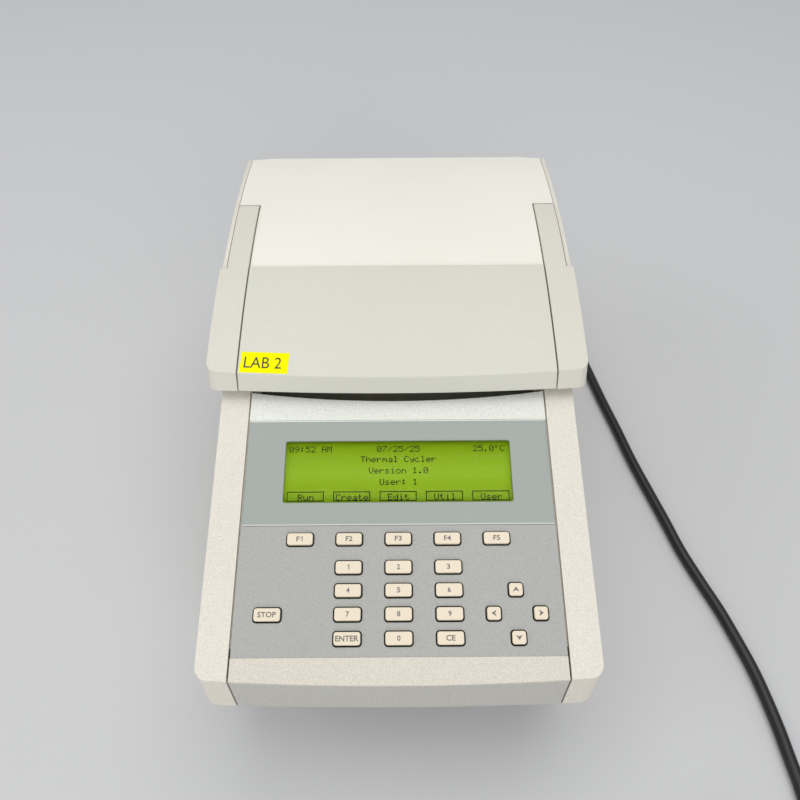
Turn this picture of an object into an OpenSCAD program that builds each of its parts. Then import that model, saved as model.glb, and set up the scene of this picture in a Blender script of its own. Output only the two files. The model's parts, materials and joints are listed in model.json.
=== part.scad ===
// Benchtop thermal cycler: a sloping control panel, a 96-well block under a heated lid,
// a latching lever on the lid and the works inside.
// +X is the operator's right, +Y runs from the front to the back, +Z is up.
// The origin is at the middle of the footprint, on the table.

/* [Base] */
// Width across the two side shells
base_w = 215; // [213:1:218]
// Height of the front face's bottom edge above the table
nose_z = 83; // [80:1:88]
// Wall thickness of the moulded shells
shell_t = 3; // [2.8:0.1:3.2]
// Radius of the front corners, seen from above
corner_r = 7; // [6:1:11]

/* [Control panel] */
// Width of a digit key
key_w = 14.2; // [13:0.2:16]
// Height of a digit key
key_h = 6.8; // [6:0.1:8]
// How far a key stands above the keypad plate
key_proud = 1.9; // [1.2:0.1:2.2]
// Gap between a key and its hole
key_gap = 0.9; // [0.5:0.1:1.1]
// Width of the display window
window_w = 133; // [131:1:134]
// Height of the display window
window_h = 38.2; // [37.6:0.2:38.6]

/* [Lid] */
// Width across the lever's skirts
lid_w = 230; // [229:1:232]
// Radius of the crowned top
crown_r = 510; // [505:1:515]
// How far the lever stands above the lid's cover
lever_step = 1.5; // [1.2:0.1:1.8]

/* [Sample block] */
// Columns of wells
well_cols = 12; // [8:1:12]
// Rows of wells
well_rows = 8; // [6:1:8]
// Distance between wells
well_pitch = 9; // [9:0.1:9]

/* [Hidden] */

$fn = 48;
big_fn = 720;

// Depth and levels of the base
front_y = -200;
rear_y = 200;
foot_h = 10;
deck_z = 162;
shelf_z = 146;
shelf_y = 150;
panel_slope = 14.8;
panel_z = 114.7;
front_lean = 0.7;
front_bow_r = 1800;
front_edge_r = 1.5;
tray_z = 80;
centre_half = 89.3;
rail_inner = 90.3;
rail_ledge = 86;
ledge_depth = 4.7;

// Levels of the lid
lid_z = 165;
lid_front_y = -42.7;
lid_rear_y = 184.5;
lid_lean = 25;
lid_bow_r = 1760;
crown_y = 92;
crown_z = 190.3 - crown_r;
lid_corner_r = 6;
lid_half = 113.8;
cover_front_y = 47.2;
cover_half = 110.9;
cover_t = 2.4;
arm_inner = 96.7;
arm_outer = 110.4;
arm_end_r = 15.3;
skirt_rear_y = 44.8;
side_front_y = 46;
lever_t = 3;
pivot = [101, 179];
pin_r = 3;
fit = 0.05;

// Hinge, latch and heated plate
hinge = [170, 156];
latch = [2, 172];
latch_pin_r = 2.5;
latch_x = 60;
block_y = 65;
block_size = [114, 76];
plate_size = [116, 76];
plate_z = 155.5;
spring_top = 182;
spring_seats = [for (x = [-48, 48], y = [-30, 30]) [x, block_y + y]];

// Panel layout: distances up the slope from the front edge
strip_v = 14.5;
seam_v = 86.1;
bezel_v = 151.5;
window_v = 118.9;
f_row_v = 78;
row_v = [62, 49.3, 36.6, 23.9];
column_x = 27.6;
arrow_x = 64;
arrow_step = 12.7;
stop_x = -71;
key_travel = 1.2;
plate_t = 1.5;
plate_drop = 0.1;
board_z = -9;

// Rear of the machine
inlet_x = 70;
socket_z = 47;
switch_z = 84;
rear_panel_y = 192.5;
fan_x = -45;
fan_z = 84;

// Mains lead: the route of its middle, from the strain relief to the coil
cord_d = 8;
cord_route = [
    [70, 256, 47], [71, 268, 46], [77, 284, 42.5], [88, 295, 36], [103, 301, 27],
    [119, 301, 18], [134, 295, 11], [146, 284, 6.5], [152, 268, 4.5], [154, 250, 4],
    [156, 230, 4], [159, 200, 4], [164, 155, 4], [170, 125, 4],
    [177, 87, 4], [184, 54, 4], [190, 23, 4], [197, -6, 4], [204, -34, 4], [210, -60, 4],
    [218, -85, 4], [226, -108, 4], [232, -130, 4], [237, -151, 4], [240, -171, 4],
    [242, -190, 4], [243, -207, 4], [244, -222, 4], [244, -245, 4], [244, -270, 4],
    [244, -300, 4]];
cord_tail = [
    [192, -344, 12], [178, -344, 12], [164, -344, 12], [153, -344, 11.5], [142, -344, 11]];
coil_centre = [192, -300];
coil_r = 44;
cord_sides = 8;

function arc(centre, r, from, to, steps) = [
    for (i = [0:steps])
        let (a = from + (to - from) * i / steps)
        [centre[0] + r * cos(a), centre[1] + r * sin(a)]];
function unit2(v) = v / norm(v);
function left_of(a, b) = let (d = unit2(b - a)) [-d[1], d[0]];
// Moves every edge of an anticlockwise outline inwards by t
function inset(pts, t) = [
    for (i = [0:len(pts) - 1])
        let (
            before = left_of(pts[(i + len(pts) - 1) % len(pts)], pts[i]),
            after = left_of(pts[i], pts[(i + 1) % len(pts)]))
        pts[i] + t * (before + after) / (1 + before * after)];
function crown_height(y, r) = crown_z + sqrt(r * r - (y - crown_y) * (y - crown_y));
// Top line of the lid or lever from the back to the front, at radius r
function crown_line(r, back, front, steps) = [
    for (i = [0:steps])
        let (y = back + (front - back) * i / steps)
        [y, crown_height(y, r)]];

module round_rect(w, h, r) {
    square([w - 2 * r, h], center = true);
    square([w, h - 2 * r], center = true);
    for (x = [-1, 1], y = [-1, 1])
        translate([x * (w / 2 - r), y * (h / 2 - r)])
            circle(r = r);
}

module slab(w, h, t, r) {
    linear_extrude(height = t)
        round_rect(w, h, r);
}

// Extrudes a (Y, Z) outline across the machine between two X values
module across(x0, x1) {
    translate([x0, 0, 0])
        rotate([90, 0, 90])
            linear_extrude(height = x1 - x0)
                children();
}

module box(x, y, z) {
    translate([x[0], y[0], z[0]])
        cube([x[1] - x[0], y[1] - y[0], z[1] - z[0]]);
}

// Both sides of the machine at once
module both_sides() {
    children();
    mirror([1, 0, 0])
        children();
}

module on_panel(x = 0, v = 0, up = 0) {
    translate([0, front_y, panel_z])
        rotate([panel_slope, 0, 0])
            translate([x, v, up])
                children();
}

// ---- Base shells ----

function panel_height(y) = panel_z + (y - front_y) * tan(panel_slope);
top_front_y = front_y + (deck_z - panel_z) / tan(panel_slope) - 0.6;
// Centre of a circle of radius r that touches both the slope and the front face
function front_edge(r) =
    let (
        lean = tan(front_lean),
        drop = r / cos(panel_slope),
        y = ((panel_z - nose_z - drop) * lean + r / cos(front_lean))
            / (1 - tan(panel_slope) * lean))
    [front_y + y, panel_height(front_y + y) - drop];
// Side view of the base; its front edge is rounded outside and sharp inside
function base_profile(t) = concat(
    [[-140, 22], [-125, foot_h], [rear_y, foot_h], [rear_y, shelf_z], [shelf_y, shelf_z],
     [shelf_y, deck_z], [top_front_y + 3, deck_z], [top_front_y - 3, panel_height(top_front_y - 3)]],
    t > 0 ? [front_edge(0)]
        : arc(front_edge(front_edge_r), front_edge_r, 90 + panel_slope, 180 - front_lean, 5),
    [[front_y, nose_z]]);

// Outline seen from above, inset by t: a bowed front between two round corners
function plan_outline(w, t, bow_r, y0, y1, r) =
    let (
        x = w / 2 - r,
        turn = asin(x / (bow_r - r)),
        y = y0 + bow_r - (bow_r - r) * cos(turn))
    concat(
        arc([-x, y], r - t, 180, 270 - turn, 8),
        arc([0, y0 + bow_r], bow_r - t, 270 - turn, 270 + turn, 24),
        arc([x, y], r - t, 270 + turn, 360, 8),
        [[w / 2 - t, y1 - t], [t - w / 2, y1 - t]]);

module base_prism(t) {
    translate([0, front_y, nose_z])
        rotate([-front_lean, 0, 0])
            translate([0, -front_y, -150])
                linear_extrude(height = 300)
                    polygon(plan_outline(base_w, t, front_bow_r, front_y, rear_y + 60, corner_r));
}

module base_hull(t) {
    intersection() {
        base_prism(t);
        across(-base_w / 2 + t, base_w / 2 - t)
            polygon(inset(base_profile(t), t));
    }
}

module base_shell(t) {
    difference() {
        base_hull(0);
        base_hull(t);
    }
}

module shell_part(x, y, z, t = shell_t) {
    intersection() {
        base_shell(t);
        box(x, y, z);
    }
}

module vent_slots() {
    for (i = [0:11])
        box([100, 120], [30 + i * 9, 34 + i * 9], [32, 66]);
}

// Right-hand shell: rail, side wall, and the ledge that backs the centre panel's edge
module side_shell() {
    wall_x = base_w / 2 - shell_t - 0.15;
    difference() {
        intersection() {
            base_hull(0);
            union() {
                box([rail_inner, 120], [-210, rear_y + 1], [tray_z + 0.3, 170]);
                box([wall_x, 120], [-210, rear_y + 1], [0, tray_z + 1]);
            }
        }
        base_hull(shell_t);
        vent_slots();
        box([80, wall_x - 0.15], [rear_panel_y - 0.3, 210], [tray_z, 143]);
    }
    intersection() {
        difference() {
            base_hull(shell_t - 0.1);
            base_hull(ledge_depth);
        }
        box([rail_ledge, 98], [-180, shelf_y - 4], [100, 170]);
    }
}

module side_shell_left() {
    color([0.92, 0.90, 0.86])
        mirror([1, 0, 0])
            side_shell();
}

module side_shell_right() {
    color([0.92, 0.90, 0.86])
        side_shell();
}

module base_tray() {
    color([0.62, 0.62, 0.60])
        difference() {
            shell_part([-104.2, 104.2], [-210, rear_panel_y - 0.2], [0, tray_z]);
            for (x = [-60:12:60])
                box([x, x + 4], [-90, -30], [0, 20]);
            for (p = screw_seats)
                translate([p[0], p[1], 0])
                    cylinder(r = 1.6, h = 30);
        }
}

// Scoop under the lid's lip that lets fingers reach it, between two shallow ends
scoop = [84, -41.4, -16, 146];
scoop_r = 680;
scoop_end_depth = 2;

module scoop_space(half, t, floor_z) {
    intersection() {
        translate([0, scoop[1] + scoop_r - t, floor_z])
            cylinder(r = scoop_r, h = 60, $fn = big_fn);
        box([-half - t, half + t], [-60, scoop[2] + t], [floor_z - 1, 200]);
    }
}

module front_panel() {
    color([0.85, 0.82, 0.76])
        difference() {
            union() {
                shell_part([-centre_half, centre_half], [-210, -13.2], [tray_z + 0.3, 170],
                    shell_t - 0.2);
                intersection() {
                    scoop_space(scoop[0], 2.5, scoop[3] - 2.5);
                    base_hull(0.05);
                    box([-85.8, 85.8], [-50, -13.2], [100, 170]);
                }
            }
            scoop_space(scoop[0], 0, scoop[3]);
            intersection() {
                scoop_space(centre_half + 1, 0, 130);
                on_panel(0, 180, -scoop_end_depth)
                    box([-100, 100], [-40, 40], [0, 20]);
            }
            on_panel(0, (strip_v + bezel_v) / 2, -plate_t - plate_drop)
                box([-100, 100], [strip_v / 2 - bezel_v / 2, bezel_v / 2 - strip_v / 2], [0, 10]);
            on_panel(0, 82, -8)
                box([-84, 84], [-65, 65], [0, 10]);
        }
}

module panel_plate(v0, v1) {
    on_panel(0, (v0 + v1) / 2, -plate_t - plate_drop)
        slab(2 * centre_half - 0.2, v1 - v0, plate_t, 0.6);
}

module display_bezel() {
    color([0.67, 0.69, 0.67])
        difference() {
            panel_plate(seam_v + 0.15, bezel_v - 0.1);
            on_panel(0, window_v, -5)
                slab(window_w, window_h, 10, 1.5);
        }
}

module display_window() {
    color([0.55, 0.62, 0.4, 0.5])
        on_panel(0, window_v, -3)
            slab(window_w + 4, window_h + 4, 1.2, 1.5);
}

module lcd_module() {
    color([0.55, 0.72, 0.2])
        on_panel(0, window_v) {
            translate([0, 0, -8.2])
                slab(window_w + 3, window_h + 6, 4.8, 1);
            translate([0, 0, -10])
                slab(150, 62, 1.8, 1);
            for (x = [-40, 0, 40])
                translate([x, 0, -12])
                    slab(20, 14, 2.1, 0.5);
        }
}

// ---- Keys ----

module key_hole(x, v, w, h) {
    on_panel(x, v, -6)
        slab(w + 2 * key_gap, h + 2 * key_gap, 12, 2.2);
}

module key_solid(x, v, w, h) {
    color([0.96, 0.92, 0.84])
        on_panel(x, v) {
            translate([0, 0, -3])
                slab(w, h, 3 + key_proud, 1.4);
            translate([0, 0, -3])
                slab(w + 2 * key_gap + 1.2, h + 2 * key_gap + 1.2, 0.9, 1.6);
            translate([0, 0, -5])
                cylinder(r = 2.2, h = 2.2);
        }
}

digit_size = [key_w, key_h];
f_size = [key_w, key_h - 0.3];
arrow_size = [key_h + 0.5, key_h];
// Every key's place and size: X, distance up the slope, width, height
keys = [
    for (i = [-2:2]) [i * column_x, f_row_v, f_size[0], f_size[1]],
    for (r = [0:3], c = [-1:1]) [c * column_x, row_v[r], digit_size[0], digit_size[1]],
    [stop_x, row_v[2], digit_size[0], digit_size[1]],
    for (s = [1, -1]) [arrow_x, row_v[2] + s * arrow_step, arrow_size[0], arrow_size[1]],
    for (s = [-1, 1]) [arrow_x + s * arrow_step, row_v[2], arrow_size[0], arrow_size[1]]];

module key(i) {
    key_solid(keys[i][0], keys[i][1], keys[i][2], keys[i][3]);
}

module keypad_plate() {
    color([0.68, 0.68, 0.66])
        difference() {
            panel_plate(strip_v + 0.1, seam_v - 0.15);
            for (k = keys)
                key_hole(k[0], k[1], k[2], k[3]);
        }
}

module keypad_board() {
    color([0.1, 0.35, 0.2]) {
        on_panel(0, 50, board_z)
            slab(164, 68, 1.6, 1);
        for (k = keys)
            on_panel(k[0], k[1], board_z + 1.6)
                cylinder(r = 3, h = 1);
    }
}

// ---- Block and works ----

tub = [76, 12, 118, 144];

module block_deck() {
    color([0.80, 0.79, 0.75])
        difference() {
            union() {
                shell_part([-centre_half, centre_half], [-12.6, rear_y + 1], [143, 170],
                    shell_t - 0.2);
                box([-tub[0] - 2.5, tub[0] + 2.5], [tub[1] - 2.5, tub[2] + 2.5],
                    [tub[3], deck_z - 1]);
            }
            box([-tub[0], tub[0]], [tub[1], tub[2]], [tub[3] + 2.5, deck_z + 1]);
            box([-block_size[0] / 2 - 2, block_size[0] / 2 + 2],
                [block_y - block_size[1] / 2 - 2, block_y + block_size[1] / 2 + 2],
                [tub[3] - 1, deck_z]);
            for (s = [-1, 1])
                box([s * latch_x - 7, s * latch_x + 7], [-10.5, 8], [150, deck_z + 1]);
            box([-92, 92], [rear_panel_y - 0.3, rear_panel_y + 2.8], [130, 143.1]);
        }
}

module block_gasket() {
    color([0.2, 0.2, 0.2])
        translate([0, block_y, tub[3] + 2.5])
            difference() {
                slab(block_size[0] + 14, block_size[1] + 14, 2.5, 5);
                translate([0, 0, -1])
                    slab(block_size[0] + 4, block_size[1] + 4, 5, 2);
            }
}

module sample_block() {
    color([0.78, 0.78, 0.80])
        difference() {
            translate([0, block_y, 130])
                slab(block_size[0], block_size[1], 20, 1.5);
            for (c = [0:well_cols - 1], r = [0:well_rows - 1])
                translate([
                    (c - (well_cols - 1) / 2) * well_pitch,
                    block_y + (r - (well_rows - 1) / 2) * well_pitch,
                    135])
                    cylinder(r1 = 1.4, r2 = 3.1, h = 15.01, $fn = 24);
        }
}

module peltier_modules() {
    color([0.9, 0.9, 0.88])
        for (x = [-36, 0, 36])
            translate([x, block_y, 126.1])
                slab(34, 68, 3.8, 0.5);
}

module heat_sink() {
    color([0.72, 0.73, 0.75]) {
        translate([0, block_y, 116])
            slab(130, 96, 10, 2);
        for (i = [0:16])
            box([-62.5 + i * 7.7, -60.5 + i * 7.7], [block_y - 46, block_y + 46], [74, 116.2]);
    }
}

fan_y = [166, 191];
fan_r = 37;

module fan_frame() {
    color([0.12, 0.12, 0.12])
        translate([fan_x, fan_y[1], fan_z])
            rotate([90, 0, 0]) {
                difference() {
                    slab(80, 80, fan_y[1] - fan_y[0], 4);
                    translate([0, 0, 3])
                        cylinder(r = fan_r + 1, h = 40, $fn = 96);
                    difference() {
                        translate([0, 0, -1])
                            cylinder(r = fan_r + 1, h = 40, $fn = 96);
                        cylinder(r = 18, h = 3);
                        for (a = [45:90:315])
                            rotate([0, 0, a])
                                box([0, 45], [-2.5, 2.5], [0, 3]);
                    }
                    for (x = [-36, 36], y = [-36, 36])
                        translate([x, y, -1])
                            cylinder(r = 2.1, h = 40);
                }
                cylinder(r = 2, h = 16);
            }
}

module fan_rotor() {
    color([0.16, 0.16, 0.17])
        translate([fan_x, fan_y[1], fan_z])
            rotate([90, 0, 0])
                difference() {
                    union() {
                        translate([0, 0, 4])
                            cylinder(r = 16, h = 18);
                        intersection() {
                            translate([0, 0, 5])
                                cylinder(r = fan_r, h = 16);
                            for (i = [0:6])
                                rotate([0, 0, i * 360 / 7])
                                    translate([14, 0, 13])
                                        rotate([50, 0, 0])
                                            box([0, 30], [-10, 10], [-0.8, 0.8]);
                        }
                    }
                    cylinder(r = 2 + fit, h = 17);
                }
}

module rear_panel() {
    color([0.55, 0.56, 0.57])
        difference() {
            box([-104.2, 104.2], [rear_panel_y, rear_panel_y + 2.5], [13.3, 142.8]);
            box([inlet_x - 24, inlet_x + 24], [190, 200], [20, 98]);
            for (row = [-4:4])
                let (half = sqrt(36 * 36 - row * row * 64))
                box([fan_x - half, fan_x + half], [190, 200],
                    [fan_z + row * 8 - 2.4, fan_z + row * 8 + 2.4]);
            box([8, 38], [190, 200], [104, 112]);
            for (p = rear_screws)
                translate([p[0], 200, p[1]])
                    rotate([90, 0, 0])
                        cylinder(r = 1.6, h = 10);
        }
}

module power_supply() {
    color([0.6, 0.62, 0.64])
        difference() {
            box([-92, -12], [-60, 90], [16, 62]);
            for (i = [0:7])
                box([-87 + i * 9, -82 + i * 9], [-61, -58], [24, 54]);
        }
}

module main_board() {
    color([0.1, 0.4, 0.22]) {
        box([2, 96], [-80, 120], [20, 21.6]);
        for (p = [[14, -60, 24, 24, 5], [50, -50, 30, 20, 4], [20, 0, 16, 40, 12],
                  [60, 20, 20, 20, 22], [60, 60, 24, 12, 8]])
            box([p[0], p[0] + p[2]], [p[1], p[1] + p[3]], [21.6, 21.6 + p[4]]);
        for (x = [8, 90], y = [-74, 114])
            translate([x, y, foot_h + shell_t])
                cylinder(r = 3, h = 7.1);
    }
}

// ---- Rear: inlet, fuse drawer and switch ----

module power_inlet() {
    color([0.1, 0.1, 0.1])
        difference() {
            union() {
                box([inlet_x - 23.8, inlet_x + 23.8], [170, 195], [20.2, 97.8]);
                box([inlet_x - 25.5, inlet_x + 25.5], [195, 198], [16, 102]);
            }
            translate([inlet_x, 199, socket_z])
                rotate([90, 0, 0])
                    slab(24.4, 16.8, 18, 2);
            box([inlet_x - 11, inlet_x + 11], [176, 199], [22, 33]);
            box([inlet_x - 10.5, inlet_x + 10.5], [180, 199], [switch_z - 6.5, switch_z + 6.5]);
        }
    color([0.8, 0.7, 0.4])
        for (p = [[-7, -2], [0, 2], [7, -2]])
            box([inlet_x + p[0] - 1, inlet_x + p[0] + 1], [180.9, 195],
                [socket_z + p[1] - 2, socket_z + p[1] + 2]);
}

module fuse_drawer() {
    color([0.14, 0.14, 0.14]) {
        difference() {
            box([inlet_x - 10.7, inlet_x + 10.7], [178, 198], [22.3, 32.7]);
            box([inlet_x - 9, inlet_x + 9], [180, 195], [24, 33]);
        }
        box([inlet_x - 10.7, inlet_x + 10.7], [198, 199.4], [22.3, 32.7]);
    }
}

// The rocker turns about this line; its ends keep to a circle round it
rocker_y = 193;
rocker_r = 6.2;
rocker_tilt = 16;

module power_switch() {
    face = 3.2;
    color([0.13, 0.13, 0.13])
        translate([inlet_x - 10, rocker_y, switch_z])
            rotate([90, 0, 90])
                linear_extrude(height = 20)
                    intersection() {
                        circle(r = rocker_r);
                        polygon([[-3, -7], [face + 7 * tan(rocker_tilt), -7], [face, 0],
                                 [face, 7], [-3, 7]]);
                    }
}

// ---- Fastenings ----

screw_seats = [for (x = [-96, 96], y = [-100, 40, 170]) [x, y]];
rear_screws = [for (x = [-99.5, 99.5], z = [26, 130]) [x, z]];

module case_screws() {
    color([0.7, 0.7, 0.72]) {
        for (p = screw_seats)
            translate([p[0], p[1], foot_h - 1.6]) {
                cylinder(r = 3, h = 1.6);
                cylinder(r = 1.5, h = 9);
            }
        for (p = rear_screws)
            translate([p[0], rear_panel_y + 4.1, p[1]])
                rotate([90, 0, 0]) {
                    cylinder(r = 3, h = 1.6);
                    cylinder(r = 1.5, h = 9);
                }
    }
}

module feet() {
    color([0.15, 0.15, 0.15])
        for (x = [-82, 82], y = [-104, 176])
            translate([x, y, 0]) {
                cylinder(r1 = 9, r2 = 10, h = 3);
                translate([0, 0, 3])
                    cylinder(r = 10, h = foot_h - 3);
            }
}

hinge_x = 66;

module hinge_brackets() {
    color([0.68, 0.69, 0.70])
        for (s = [-1, 1])
            translate([s * hinge_x, 0, 0]) {
                box([-16, 16], [158, 181], [shelf_z, shelf_z + 2]);
                for (x = [-12, 10]) {
                    box([x, x + 2], [hinge[0] - 6, hinge[0] + 6], [shelf_z, hinge[1]]);
                    translate([x, hinge[0], hinge[1]])
                        rotate([0, 90, 0])
                            cylinder(r = 6, h = 2);
                }
                translate([-13.5, hinge[0], hinge[1]])
                    rotate([0, 90, 0])
                        cylinder(r = pin_r, h = 27);
            }
}

// ---- Lid ----

// Outline of the lid behind the lever's skirts, seen from above
lid_plan = [[-lid_half, side_front_y], [lid_half, side_front_y], [lid_half, lid_rear_y - 3.2],
            [95, lid_rear_y], [-95, lid_rear_y], [-lid_half, lid_rear_y - 3.2]];
lid_floor_t = 2.4;

module lid_hull(r, t, y0, z0) {
    intersection() {
        across(-lid_half - 1, lid_half + 1)
            polygon(concat(
                [[y0, z0], [lid_rear_y - t, z0]],
                crown_line(r, lid_rear_y - t, y0, 16)));
        translate([0, 0, 100])
            linear_extrude(height = 150)
                polygon(inset(lid_plan, t));
    }
}

// A cylinder about the lever's pivot
module pivot_rod(r, x0, x1) {
    translate([x0, pivot[0], pivot[1]])
        rotate([0, 90, 0])
            cylinder(r = r, h = x1 - x0);
}

module arm_notch() {
    box([96, 111.2], [40, pivot[0] + 9.8], [166, 200]);
    pivot_rod(arm_end_r + 0.8, 96, 111.2);
}

module lid_cover() {
    color([0.94, 0.94, 0.89])
        difference() {
            intersection() {
                lid_hull(crown_r, 0, cover_front_y, lid_z + lid_floor_t + 0.2);
                box([-cover_half, cover_half], [0, 200], [100, 220]);
            }
            lid_hull(crown_r - cover_t, cover_t, side_front_y + cover_t, 150);
            box([-120, 120], [40, cover_front_y + 3],
                [100, crown_height(cover_front_y, crown_r) - cover_t]);
            both_sides()
                arm_notch();
        }
}

inner_half = 95.4;
inner_r = crown_r - 2.6;
inner_front_y = -31;
inner_rear_y = lid_rear_y - 2.8;

module lid_core(t) {
    across(-inner_half + t, inner_half - t)
        polygon(concat(
            [[inner_front_y + t, lid_z + t], [inner_rear_y - t, lid_z + t]],
            crown_line(inner_r - t, inner_rear_y - t, inner_front_y + t, 20)));
}

module lid_base_plate() {
    translate([0, 0, lid_z])
        intersection() {
            linear_extrude(height = lid_floor_t)
                union() {
                    polygon(lid_plan);
                    translate([-112, -20])
                        square([224, 72]);
                    translate([-100, -32])
                        square([200, 40]);
                    for (s = [-1, 1])
                        translate([s * 100, -20])
                            circle(r = 12);
                }
            box([-lid_half, lid_half], [-34, lid_rear_y], [-1, 10]);
        }
}

module lid_shell() {
    color([0.86, 0.85, 0.81])
        difference() {
            union() {
                difference() {
                    lid_core(0);
                    lid_core(lid_floor_t);
                }
                lid_base_plate();
                both_sides() {
                    intersection() {
                        lid_hull(crown_r, 0, side_front_y, lid_z);
                        box([cover_half + 0.4, 120], [side_front_y, 200], [lid_z, 220]);
                    }
                    pivot_rod(pin_r, inner_half - 3, arm_outer - 2);
                    translate([hinge_x - 9.7, hinge[0], hinge[1]])
                        rotate([0, 90, 0])
                            cylinder(r = 6, h = 19.4);
                    box([hinge_x - 9.7, hinge_x + 9.7], [hinge[0] - 6, hinge[0] + 4],
                        [hinge[1], lid_z + 1]);
                    box([latch_x + 6, latch_x + 12], [latch[0] - 5, latch[0] + 5],
                        [lid_z + 1, latch[1] + 5]);
                }
                for (p = spring_seats)
                    translate([p[0], p[1], spring_top])
                        cylinder(r = 6, h = crown_height(p[1], inner_r) - spring_top - 0.8);
            }
            box([-plate_size[0] / 2 - 2, plate_size[0] / 2 + 2],
                [block_y - plate_size[1] / 2 - 2, block_y + plate_size[1] / 2 + 2],
                [160, lid_z + lid_floor_t + 0.01]);
            both_sides() {
                box([latch_x - 6, latch_x + 5.8], [-11, 10], [160, lid_z + 3]);
                translate([0, hinge[0], hinge[1]])
                    rotate([0, 90, 0])
                        cylinder(r = pin_r + fit, h = 100);
                translate([latch_x, latch[0], latch[1]])
                    rotate([0, 90, 0])
                        cylinder(r = latch_pin_r + fit, h = 10.5);
            }
        }
}

module spring(r, wire, height, turns) {
    steps = turns * 14;
    ring = [for (i = [0:steps], j = [0:5])
        let (a = 360 * turns * i / steps, b = 60 * j, q = r + wire * cos(b))
        [q * cos(a), q * sin(a), wire + (height - 2 * wire) * i / steps + wire * sin(b)]];
    sides = [for (i = [0:steps - 1], j = [0:5])
        [i * 6 + j, i * 6 + (j + 1) % 6, (i + 1) * 6 + (j + 1) % 6, (i + 1) * 6 + j]];
    polyhedron(
        points = ring,
        faces = concat([[0, 1, 2, 3, 4, 5]], [[for (j = [5:-1:0]) steps * 6 + j]],
            [for (f = sides) [f[3], f[2], f[1], f[0]]]));
}

flange_z = 167.9;

module plate_springs() {
    color([0.75, 0.75, 0.78])
        for (p = spring_seats)
            translate([p[0], p[1], flange_z + 2.1])
                spring(4, 0.5, spring_top - flange_z - 2.2, 5);
}

module heated_plate() {
    color([0.75, 0.76, 0.78]) {
        translate([0, block_y, plate_z])
            slab(plate_size[0], plate_size[1], flange_z - plate_z + 1, 2);
        translate([0, block_y, flange_z])
            slab(plate_size[0] + 12, plate_size[1] + 12, 2, 3);
    }
}

// ---- Lever ----

module lever_prism(t) {
    translate([0, lid_front_y, lid_z])
        rotate([-lid_lean, 0, 0])
            translate([0, -lid_front_y, -60])
                linear_extrude(height = 180)
                    polygon(plan_outline(lid_w, t, lid_bow_r, lid_front_y, 160, lid_corner_r));
}

module lever_body(t, bottom) {
    r = crown_r + lever_step - (t > 0 ? lever_t : 0);
    intersection() {
        lever_prism(t);
        across(-lid_w / 2 + t, lid_w / 2 - t)
            polygon(concat(
                [[-60, bottom], [pivot[0] + 12, bottom]],
                crown_line(r, pivot[0] + 12, -60, 24)));
    }
}

module lever_skin(x, y) {
    intersection() {
        difference() {
            lever_body(0, lid_z);
            lever_body(2.6, lid_z - 20);
        }
        box(x, y, [150, 220]);
    }
}

module lever_panel() {
    color([0.855, 0.855, 0.81])
        lever_skin([-95.9, 95.9], [-60, cover_front_y - 0.6]);
}

module lever_arm() {
    difference() {
        union() {
            lever_skin([arm_inner, 120], [-60, skirt_rear_y]);
            intersection() {
                lever_body(0, lid_z);
                union() {
                    box([arm_inner, arm_outer], [20, pivot[0]], [172, 220]);
                    intersection() {
                        pivot_rod(arm_end_r, arm_inner, arm_outer);
                        box([90, 120], [pivot[0] - 2, pivot[0] + 30], [pivot[1] - 3, 220]);
                    }
                    box([arm_inner, arm_outer], [pivot[0] - 4, pivot[0] + 9], [pivot[1] + 4, 220]);
                }
            }
        }
        pivot_rod(pin_r + fit, 90, arm_outer - 1.9);
    }
}

module lever_arm_left() {
    color([0.88, 0.86, 0.82])
        mirror([1, 0, 0])
            lever_arm();
}

module lever_arm_right() {
    color([0.88, 0.86, 0.82])
        lever_arm();
}

module latch_hooks() {
    color([0.7, 0.7, 0.72]) {
        translate([-latch_x - 10, latch[0], latch[1]])
            rotate([0, 90, 0])
                cylinder(r = latch_pin_r, h = 2 * latch_x + 20);
        for (s = [-1, 1])
            translate([s * latch_x - 4, 0, 0])
                rotate([90, 0, 90])
                    linear_extrude(height = 8) {
                        translate(latch)
                            circle(r = 4.6);
                        polygon([[-2, latch[1]], [-2, 153.5], [3, 152], [6.6, 156],
                                 [6.6, 157.5], [4, 158.5], [5, latch[1]]]);
                    }
    }
}

// ---- Mains lead ----

module cord_connector() {
    color([0.08, 0.08, 0.08])
        translate([inlet_x, 0, socket_z]) {
            difference() {
                translate([0, 198, 0])
                    rotate([90, 0, 0])
                        slab(23.6, 16, 15, 2);
                for (p = [[-7, -2], [0, 2], [7, -2]])
                    box([p[0] - 1.2, p[0] + 1.2], [180, 196], [p[1] - 2.2, p[1] + 2.2]);
            }
            translate([0, 228, 0])
                rotate([90, 0, 0])
                    slab(27, 19.6, 29.9, 4);
            translate([0, 228, 0])
                rotate([-90, 0, 0]) {
                    cylinder(r1 = 8, r2 = 4.8, h = 28);
                    for (i = [0:4])
                        translate([0, 0, 3 + i * 5])
                            cylinder(r = 7.6 - i * 0.55, h = 2.2);
                }
        }
}

function unit3(v) = v / norm(v);
function heading(pts, i) = unit3(pts[min(i + 1, len(pts) - 1)] - pts[max(i - 1, 0)]);

// A round tube along a list of points
module tube(pts, r, sides) {
    rings = [for (i = [0:len(pts) - 1])
        let (
            h = heading(pts, i),
            side = unit3(cross(h, abs(h[2]) > 0.9 ? [1, 0, 0] : [0, 0, 1])),
            up = cross(side, h))
        for (j = [0:sides - 1])
            pts[i] + r * (cos(360 * j / sides) * side + sin(360 * j / sides) * up)];
    last = (len(pts) - 1) * sides;
    polyhedron(
        points = rings,
        faces = concat(
            [[for (j = [sides - 1:-1:0]) j]],
            [[for (j = [0:sides - 1]) last + j]],
            [for (i = [0:len(pts) - 2], j = [0:sides - 1])
                [i * sides + j, i * sides + (j + 1) % sides,
                 (i + 1) * sides + (j + 1) % sides, (i + 1) * sides + j]]));
}

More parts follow.
